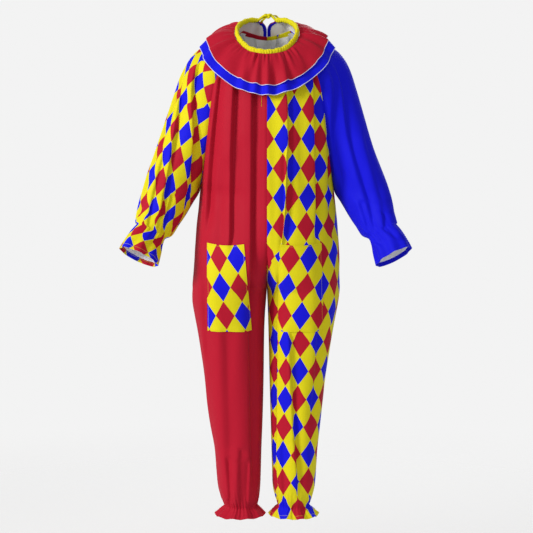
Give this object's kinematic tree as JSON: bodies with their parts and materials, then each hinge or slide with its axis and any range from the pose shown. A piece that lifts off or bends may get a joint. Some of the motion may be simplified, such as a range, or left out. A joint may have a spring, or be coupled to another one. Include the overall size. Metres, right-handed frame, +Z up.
{
  "type": "jester jumpsuit with ruffle collar",
  "caption": "Raglan-sleeved jester jumpsuit in worn form, half plain and half diamond print, with ruffled cuffs and ankles, patch pockets and a two-tier ruffle collar on a tied neck band.",
  "frame": {"origin": "middle of the neck opening at shoulder level, where the wearer's shoulders and neck hold the garment up", "axes": "+Z up along the garment, -Y out of its front, +X to the wearer's left"},
  "size_m": [0.836, 0.3244, 1.4919],
  "materials": {
    "red_cloth": "smooth light polyester in clear red with a soft sheen",
    "blue_cloth": "smooth light polyester in bright blue with a soft sheen",
    "yellow_cloth": "smooth light polyester in bright yellow with a soft sheen",
    "diamond_cloth": "smooth light polyester printed with red, blue and yellow diamonds, white on its wrong side"
  },
  "bodies": {
    "root": {"front_right": "red_cloth", "back_right": "red_cloth", "front_left": "diamond_cloth", "back_left": "diamond_cloth", "sleeve_right": "diamond_cloth", "sleeve_left": "blue_cloth", "pocket_right": "diamond_cloth", "pocket_left": "diamond_cloth", "collar_upper": "red_cloth", "collar_lower": "blue_cloth", "neck_band": "yellow_cloth", "tie_right": "yellow_cloth", "tie_left": "yellow_cloth", "tie_knot": "yellow_cloth", "tie_tail_right": "yellow_cloth", "tie_tail_left": "yellow_cloth"}
  },
  "joints": []
}
